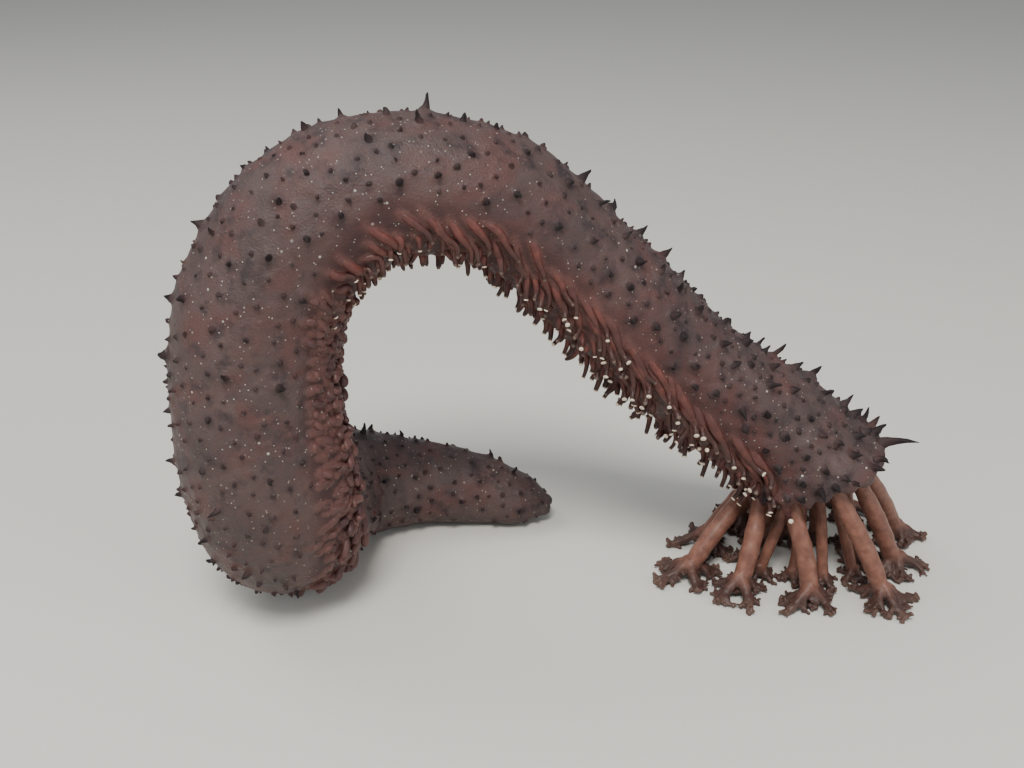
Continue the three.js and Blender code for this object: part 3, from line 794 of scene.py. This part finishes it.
def melt_into_one(piece, grain):
    """Melts the rods of a piece into one smooth skin, and gives its mesh."""
    melt = piece.modifiers.new("melt", "REMESH")
    melt.mode = "VOXEL"
    melt.voxel_size = grain * MM
    melt.use_smooth_shade = True
    even = piece.modifiers.new("even", "SMOOTH")
    even.factor = 0.5
    even.iterations = 2
    melted = bpy.data.meshes.new_from_object(piece.evaluated_get(bpy.context.evaluated_depsgraph_get()))
    piece.modifiers.clear()
    old, piece.data = piece.data, melted
    bpy.data.meshes.remove(old)
    return melted


def read_vertices(mesh, what):
    """The places or the normals of a mesh's vertices, as rows of three."""
    values = np.zeros(len(mesh.vertices) * 3, np.float32)
    mesh.vertices.foreach_get(what, values)
    return values.reshape(-1, 3)


def make_tentacle(name, foot, size, seed):
    """One tentacle: its rods as one soft skin, with a rough crown."""
    rng = default_rng(seed)
    points, faces, count = [], [], 0
    for line, radii, sides in tentacle_rods(foot, size, rng):
        rod_points, rod_faces = rods(line[None], radii[None], sides)
        points.append(rod_points[0])
        faces.append(rod_faces + count)
        count += len(rod_points[0])
    piece = mesh_piece(name, np.concatenate(points), np.concatenate(faces))
    mesh = melt_into_one(piece, size["melt"])
    co = read_vertices(mesh, "co") / MM
    far = np.linalg.norm((co - hub_of(foot))[:, :2], axis=1) + np.maximum(co[:, 2] - 4, 0) * 0.2
    crown = 1 - smooth(co[:, 2], 2.2 * size["branch"], 5.5 * size["branch"])
    rough = 0.09 * noise(co, 1.3, seed) * (0.4 + 0.9 * crown) + 0.06 * noise(co, 0.7, seed + 1) * crown
    co = co + read_vertices(mesh, "normal") * rough[:, None]
    keep_above(co, TENTACLE_CLEARANCE)
    mesh.vertices.foreach_set("co", (co * MM).astype(np.float32).ravel())
    set_values(mesh, {"crown": crown, "out": np.clip(far / size["crown"], 0, 1)})
    mesh.update()
    return piece


def make_mouth_disc():
    """The disc inside the collar: a soft ring of folds round the small mouth."""
    around, rings = 96, 26
    edge = CUP_RADIUS - 0.05
    low = -CUP_DEPTH + GAP
    top = low + DISC_THICK
    radius = np.concatenate([[edge, edge], np.linspace(edge - 0.5, 0.25, rings)])
    lip = 1.5 * np.exp(-((radius - 2.6) / 0.95) ** 2) - 1.4 * np.exp(-(radius / 1.2) ** 2)
    height = np.where(radius < 4.2, top + lip, top)
    height[:2] = low, top - 0.5
    turn = turns(around)
    folds = 0.22 * np.cos(turn * 20)[None] * np.exp(-((radius - 3.0) / 1.6) ** 2)[:, None]
    side = unit(np.cross(MOUTH_FACES, [0, 1, 0]))
    other = np.cross(MOUTH_FACES, side)
    way = side * np.cos(turn)[:, None] + other * np.sin(turn)[:, None]
    points = (MOUTH_AT + way[None] * radius[:, None, None]
              + MOUTH_FACES * (height[:, None] + folds)[..., None])
    middles = [MOUTH_AT + MOUTH_FACES * low, MOUTH_AT + MOUTH_FACES * (top - 1.6)]
    return mesh_piece("mouth_disc", np.concatenate([points.reshape(-1, 3), middles]),
                      tube_faces(len(radius), around))


# Materials

def colour(hex_code):
    """An sRGB hex colour as linear light, with alpha."""
    parts = [int(hex_code[i:i + 2], 16) / 255 for i in (1, 3, 5)]
    return [c / 12.92 if c <= 0.04045 else ((c + 0.055) / 1.055) ** 2.4 for c in parts] + [1.0]


def add(tree, kind, settings=None, out=0, **inputs):
    """Adds a shader node of a kind and gives its output. Inputs are named with _ for spaces, or _0, _1
    by number, and hold values or other nodes' outputs."""
    node = tree.nodes.new("ShaderNode" + kind)
    for key, value in (settings or {}).items():
        setattr(node, key, value)
    for key, value in inputs.items():
        socket = node.inputs[int(key[1:])] if key[0] == "_" else node.inputs[key.replace("_", " ")]
        if isinstance(value, bpy.types.NodeSocket):
            tree.links.new(value, socket)
        else:
            socket.default_value = value
    return node.outputs[out] if node.outputs else node


MIX = dict(data_type="RGBA")


def new_material(name, *values):
    """An empty material and its node tree, then the outputs that read the named values of its mesh."""
    material = bpy.data.materials.new(name)
    material.use_nodes = True
    tree = material.node_tree
    tree.nodes.clear()
    read = [add(tree, "Attribute", dict(attribute_name=value), out="Fac") for value in values]
    return material, tree, *read


def tint(tree, base, hex_code, value, low, high, least=0.0, most=1.0):
    """Lays a colour over the base, from the share least where a value is low to most where it is high."""
    share = add(tree, "MapRange", Value=value, _1=low, _2=high, _3=least, _4=most)
    return add(tree, "Mix", MIX, out=2, _0=share, _6=base, _7=colour(hex_code))


def tint_by_both(tree, base, hex_code, one, other):
    """Lays a colour over the base, by the product of two shares."""
    share = add(tree, "Math", dict(operation="MULTIPLY"), _0=one, _1=other)
    return add(tree, "Mix", MIX, out=2, _0=share, _6=base, _7=colour(hex_code))


def wet_finish(material, base, roughness, bump_height, bump_mm, specular=0.4, scatter=0.12):
    """Wet living skin: a little light goes in and comes out red, and a thin wet film shines softly."""
    tree = material.node_tree
    bump = add(tree, "Bump", Strength=0.8, Distance=bump_mm * MM, Height=bump_height)
    shader = add(tree, "BsdfPrincipled", Base_Color=base, Roughness=roughness, Normal=bump,
                 Specular_IOR_Level=specular, IOR=1.4, Subsurface_Weight=scatter,
                 Subsurface_Radius=(1.0, 0.35, 0.25), Subsurface_Scale=1.6 * MM)
    add(tree, "OutputMaterial", Surface=shader)
    return material


def per_mm(size):
    """A pattern scale whose lumps are size millimetres across."""
    return 1.0 / (size * MM)


# The patterns in the body's colours, each laid over those before it: patches of purple-brown and of
# red, dark blotches and a fine mottle. Each row has the size in mm, detail, roughness, distortion,
# colour, where in the pattern the colour begins and is full, and how strong it is there.
BODY_PATTERNS = [
    (14, 2.0, 0.5, 0.0, "#52413f", 0.38, 0.62, 1.0),
    (9, 2.0, 0.5, 0.4, "#563835", 0.47, 0.66, 0.7),
    (5, 3.0, 0.6, 0.0, "#2c2427", 0.53, 0.7, 0.8),
    (1.6, 4.0, 0.65, 0.0, "#5e4843", 0.48, 0.75, 0.35),
]
# The pale grains caught on the skin, 0.2 to 0.3 mm across with a few of 0.5 mm: the size in mm of a
# cell that may hold one, a grain's radius in cells and about what share of cells has none.
GRAINS = [(1.2, 0.11, 0.4), (3.4, 0.075, 0.45)]


def body_colours(tree):
    """The body's own colours, maroon-brown with darker and redder patches. Also gives the fine mottle
    in them, and the place that patterns are set by."""
    place = add(tree, "NewGeometry")
    base = colour("#443837")
    for size, detail, roughness, distortion, hex_code, low, high, most in BODY_PATTERNS:
        pattern = add(tree, "TexNoise", Vector=place, Scale=per_mm(size), Detail=detail,
                      Roughness=roughness, Distortion=distortion)
        base = tint(tree, base, hex_code, pattern, low, high, most=most)
    return base, pattern, place


def dark_round_papillae_and_painted_shade(tree, base, wart):
    """The dark patch that a papilla stands in, on the skin and on the papilla's own base; on the skin also
    the dark hind tip and the painted shade inside the collar's cup.
    """
    return tint(tree, base, "#272023", wart, 0.1, 1.0, most=0.85)


def skin_material():
    """Living skin, wet and leathery: maroon-brown with darker blotches, redder by the tube feet, and darker
    round the papillae, with painted shade in the creases between the tube feet and inside the collar's cup,
    and a painted highlight on the ridges over the feet."""
    material, tree, *values = new_material("wet_leathery_skin", "band", "crest", "blush", "wart")
    band, crest, blush, wart = values
    base, mottle, place = body_colours(tree)
    # Beside the band of tube feet the skin is redder, in clouds of the mottle.
    cloud = add(tree, "MapRange", Value=mottle, _1=0.3, _2=0.65, _3=0.3, _4=0.75)
    base = tint_by_both(tree, base, "#4f2a28", blush, cloud)
    base = tint_by_both(tree, base, "#5f3a35", band, 0.62)
    # Between the tube feet the skin is in deep creases, darkened there as painted shade, and it is red where
    # it rises into one: partly the feet's own red, partly a painted highlight on the ridge tops.
    painted_crease_shade = add(tree, "MapRange", Value=crest, _1=0.0, _2=0.35, _3=0.8, _4=0.0)
    base = tint_by_both(tree, base, "#352324", painted_crease_shade, band)
    # Partly the feet's own red and partly a painted highlight: lighter, redder skin on the ridges over the
    # tube feet.
    base = tint(tree, base, "#5d3d39", crest, 0.45, 1.0, most=0.75)
    # Dark patches round the papillae, and painted shade inside the collar's cup.
    base = dark_round_papillae_and_painted_shade(tree, base, wart)
    grain = 0.0
    for cell, radius, none in GRAINS:
        spots = add(tree, "TexVoronoi", Vector=place, Scale=per_mm(cell), out="Distance")
        which = add(tree, "TexVoronoi", Vector=place, Scale=per_mm(cell), out="Color")
        near = add(tree, "MapRange", Value=spots, _1=radius, _2=radius * 1.5, _3=1.0, _4=0.0)
        chosen = add(tree, "MapRange", Value=which, _1=none, _2=none + 0.3, _4=0.85)
        spot = add(tree, "Math", dict(operation="MULTIPLY"), _0=near, _1=chosen)
        grain = add(tree, "Math", dict(operation="MAXIMUM"), _0=spot, _1=grain)
    base = tint_by_both(tree, base, "#cfc9bf", grain, 0.7)
    # The skin's own grain is about 0.5 mm, with creases of 2 mm.
    fine = add(tree, "TexNoise", Vector=place, Scale=per_mm(0.55), Detail=3.0, Roughness=0.6)
    crease = add(tree, "TexNoise", Vector=place, Scale=per_mm(2.2), Detail=4.0, Roughness=0.7)
    height = add(tree, "Math", dict(operation="ADD"), _0=fine, _1=crease)
    height = add(tree, "Math", dict(operation="ADD"), _0=height, _1=grain)
    rough = add(tree, "MapRange", Value=mottle, _1=0.3, _2=0.7, _3=0.4, _4=0.58)
    return wet_finish(material, base, rough, height, 0.24)


def papilla_material():
    """Papilla skin: the colours of the skin at the base, and soon darker towards a near-black tip."""
    material, tree, wart, tip = new_material("wet_papilla_skin", "wart", "tip")
    base, mottle, _ = body_colours(tree)
    base = dark_round_papillae_and_painted_shade(tree, base, wart)
    base = tint(tree, base, "#1e191b", tip, 0.05, 0.55, most=0.92)
    return wet_finish(material, base, 0.62, mottle, 0.25, specular=0.22, scatter=0.06)


def foot_material():
    """Tube foot skin: thin, wet and red-brown where light comes through, with a cream sucker."""
    material, tree, reach, sucker, tone = new_material("wet_tube_foot_skin", "reach", "sucker", "tone")
    place = add(tree, "NewGeometry")
    mottle = add(tree, "TexNoise", Vector=place, Scale=per_mm(2.4), Detail=3.0, Roughness=0.6)
    base = tint(tree, colour("#512e2b"), "#6c3f38", mottle, 0.35, 0.65)
    # Some feet are darker than their neighbours, and each is darker at its root, and at its hanging end with
    # painted shade.
    base = tint(tree, base, "#422d2b", tone, 0.45, 1.0, most=0.7)
    base = tint(tree, base, "#533433", reach, 0.0, 0.35, least=0.95, most=0.0)
    # Painted shade: the hanging end of each foot darker, as under the body.
    base = tint(tree, base, "#3a2825", reach, 0.42, 0.85, most=0.85)
    base = tint(tree, base, "#d9c9b6", sucker, 0.0, 1.0)
    return wet_finish(material, base, 0.42, mottle, 0.12, scatter=0.2)


def drawn_in_foot_material():
    """Drawn-in tube foot skin: the body's own colours, wetter and a little redder, and darker low down, where
    the feet crowd together, as painted shade."""
    material, tree, reach, tone = new_material("wet_drawn_in_foot_skin", "reach", "tone")
    base, mottle, _ = body_colours(tree)
    base = add(tree, "Mix", MIX, out=2, _0=0.6, _6=base, _7=colour("#67403b"))
    # Some feet are darker than their neighbours.
    base = tint(tree, base, "#3a2829", tone, 0.3, 1.0, most=0.75)
    # Painted shade: darker at each foot's root, where the feet crowd together.
    base = tint(tree, base, "#4a3231", reach, 0.0, 0.3, least=0.7, most=0.0)
    return wet_finish(material, base, 0.42, mottle, 0.14, scatter=0.15)


def tentacle_material():
    """Tentacle skin: a smooth orange-brown stalk, and a dark, knobbly, branched crown."""
    material, tree, crown, far = new_material("wet_tentacle_skin", "crown", "out")
    place = add(tree, "NewGeometry")
    mottle = add(tree, "TexNoise", Vector=place, Scale=per_mm(2.5), Detail=3.0, Roughness=0.6)
    fine = add(tree, "TexNoise", Vector=place, Scale=per_mm(0.6), Detail=3.0, Roughness=0.6)
    stalk = tint(tree, colour("#68453a"), "#82594b", mottle, 0.35, 0.65)
    dark = add(tree, "Mix", MIX, out=2, _0=mottle, _6=colour("#382725"), _7=colour("#543c35"))
    base = add(tree, "Mix", MIX, out=2, _0=crown, _6=stalk, _7=dark)
    tips = add(tree, "MapRange", Value=far, _1=0.75, _2=1.0, _4=0.35)
    base = tint_by_both(tree, base, "#6f574b", tips, crown)
    return wet_finish(material, base, 0.42, fine, 0.15, scatter=0.2)


def mouth_material():
    """The disc's skin: wet, smooth and very dark."""
    material, tree = new_material("wet_mouth_skin")
    place = add(tree, "NewGeometry")
    mottle = add(tree, "TexNoise", Vector=place, Scale=per_mm(2.0), Detail=3.0, Roughness=0.6)
    base = add(tree, "Mix", MIX, out=2, _0=mottle, _6=colour("#221718"), _7=colour("#3d2826"))
    return wet_finish(material, base, 0.4, mottle, 0.2)


# The pieces, each on the body

BODY_NODES = ["hind_end", "hind_body", "foot_hind", "foot_fore", "rise_lower", "rise_upper",
              "arch_hind", "arch_fore", "fall_upper", "fall_lower", "head"]


def settle(piece, material, slot, *nodes):
    """Gives a piece its material and its body, and hides the nodes it stands for."""
    piece.data.materials.append(material)
    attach(piece, "root")
    if nodes:
        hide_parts(*nodes)


papillae = papilla_places()
long_feet = long_foot_places()
drawn_in_feet = drawn_in_foot_places()
foot_lines = long_foot_paths(long_feet)
drawn_in_lines = drawn_in_foot_paths(drawn_in_feet)
settle(make_skin(papillae, foot_lines[:, 1:9], drawn_in_lines), skin_material(), "body_skin", *BODY_NODES)
settle(make_papillae(papillae), papilla_material(), "body_skin")
settle(make_long_feet(long_feet, foot_lines), foot_material(), "body_skin")
settle(make_drawn_in_feet(drawn_in_feet, drawn_in_lines), drawn_in_foot_material(), "body_skin")
settle(make_mouth_disc(), mouth_material(), "mouth_skin", "mouth")
tentacle_skin = tentacle_material()
for ring, size, feet in TENTACLE_RINGS:
    for number, foot in enumerate(feet, 1):
        node = f"tentacle_{ring}_{number:02d}"
        piece = make_tentacle(node + "_skin", foot, size, size["seed"] + number)
        settle(piece, tentacle_skin, "tentacle_skin", node)


# The room: a plain pale floor, then soft light and the camera, whose places are in metres

def make_floor():
    """A level floor, 8 m across."""
    far = 4000
    corners = np.array([(-far, -far, 0), (far, -far, 0), (far, far, 0), (-far, far, 0)])
    floor = mesh_piece("floor", corners, np.array([(0, 1, 2, 3)]))
    material, tree = new_material("pale_matt_floor")
    shader = add(tree, "BsdfPrincipled", Base_Color=colour("#d4d2cb"), Roughness=0.85)
    add(tree, "OutputMaterial", Surface=shader)
    floor.data.materials.append(material)


LIT_MIDDLE = Vector((0.06, -0.01, 0.05))


def soft_light(name, at, size, power, light_colour):
    """A square light that faces the part."""
    data = bpy.data.lights.new(name, "AREA")
    data.size = size
    data.energy = power
    data.color = light_colour
    lamp = bpy.data.objects.new(name, data)
    lamp.location = at
    lamp.rotation_euler = (LIT_MIDDLE - Vector(at)).to_track_quat("-Z", "Y").to_euler()
    bpy.context.scene.collection.objects.link(lamp)


make_floor()
soft_light("key", (0.0, -0.52, 0.85), 0.3, 9.6, (1.0, 0.98, 0.94))
soft_light("right_fill", (0.85, -0.5, 0.4), 0.7, 3.2, (0.96, 0.98, 1.0))
soft_light("left_fill", (-0.75, -0.6, 0.42), 0.7, 2.6, (0.96, 0.98, 1.0))
soft_light("top", (-0.55, 0.2, 0.8), 0.5, 2.4, (1.0, 1.0, 1.0))
world = bpy.data.worlds.new("pale_room")
world.use_nodes = True
background = world.node_tree.nodes["Background"]
background.inputs["Color"].default_value = (0.8, 0.83, 0.86, 1)
background.inputs["Strength"].default_value = 0.42
bpy.context.scene.world = world

# The camera: how wide it sees, how far above level it is, and how far from the middle of its view.
VIEW_WIDTH = math.radians(48)
VIEW_RISE = math.radians(25)
VIEW_DISTANCE = 0.287
VIEW_MIDDLE = Vector((0.053, -0.012, 0.056))
camera_data = bpy.data.cameras.new("camera")
camera_data.sensor_width = 36
camera_data.lens = camera_data.sensor_width / 2 / math.tan(VIEW_WIDTH / 2)
camera_data.clip_start = 0.01
camera = bpy.data.objects.new("camera", camera_data)
camera.location = VIEW_MIDDLE + VIEW_DISTANCE * Vector((0, -math.cos(VIEW_RISE), math.sin(VIEW_RISE)))
camera.rotation_euler = (math.pi / 2 - VIEW_RISE, 0, 0)
bpy.context.scene.collection.objects.link(camera)
bpy.context.scene.camera = camera

bpy.context.view_layer.update()
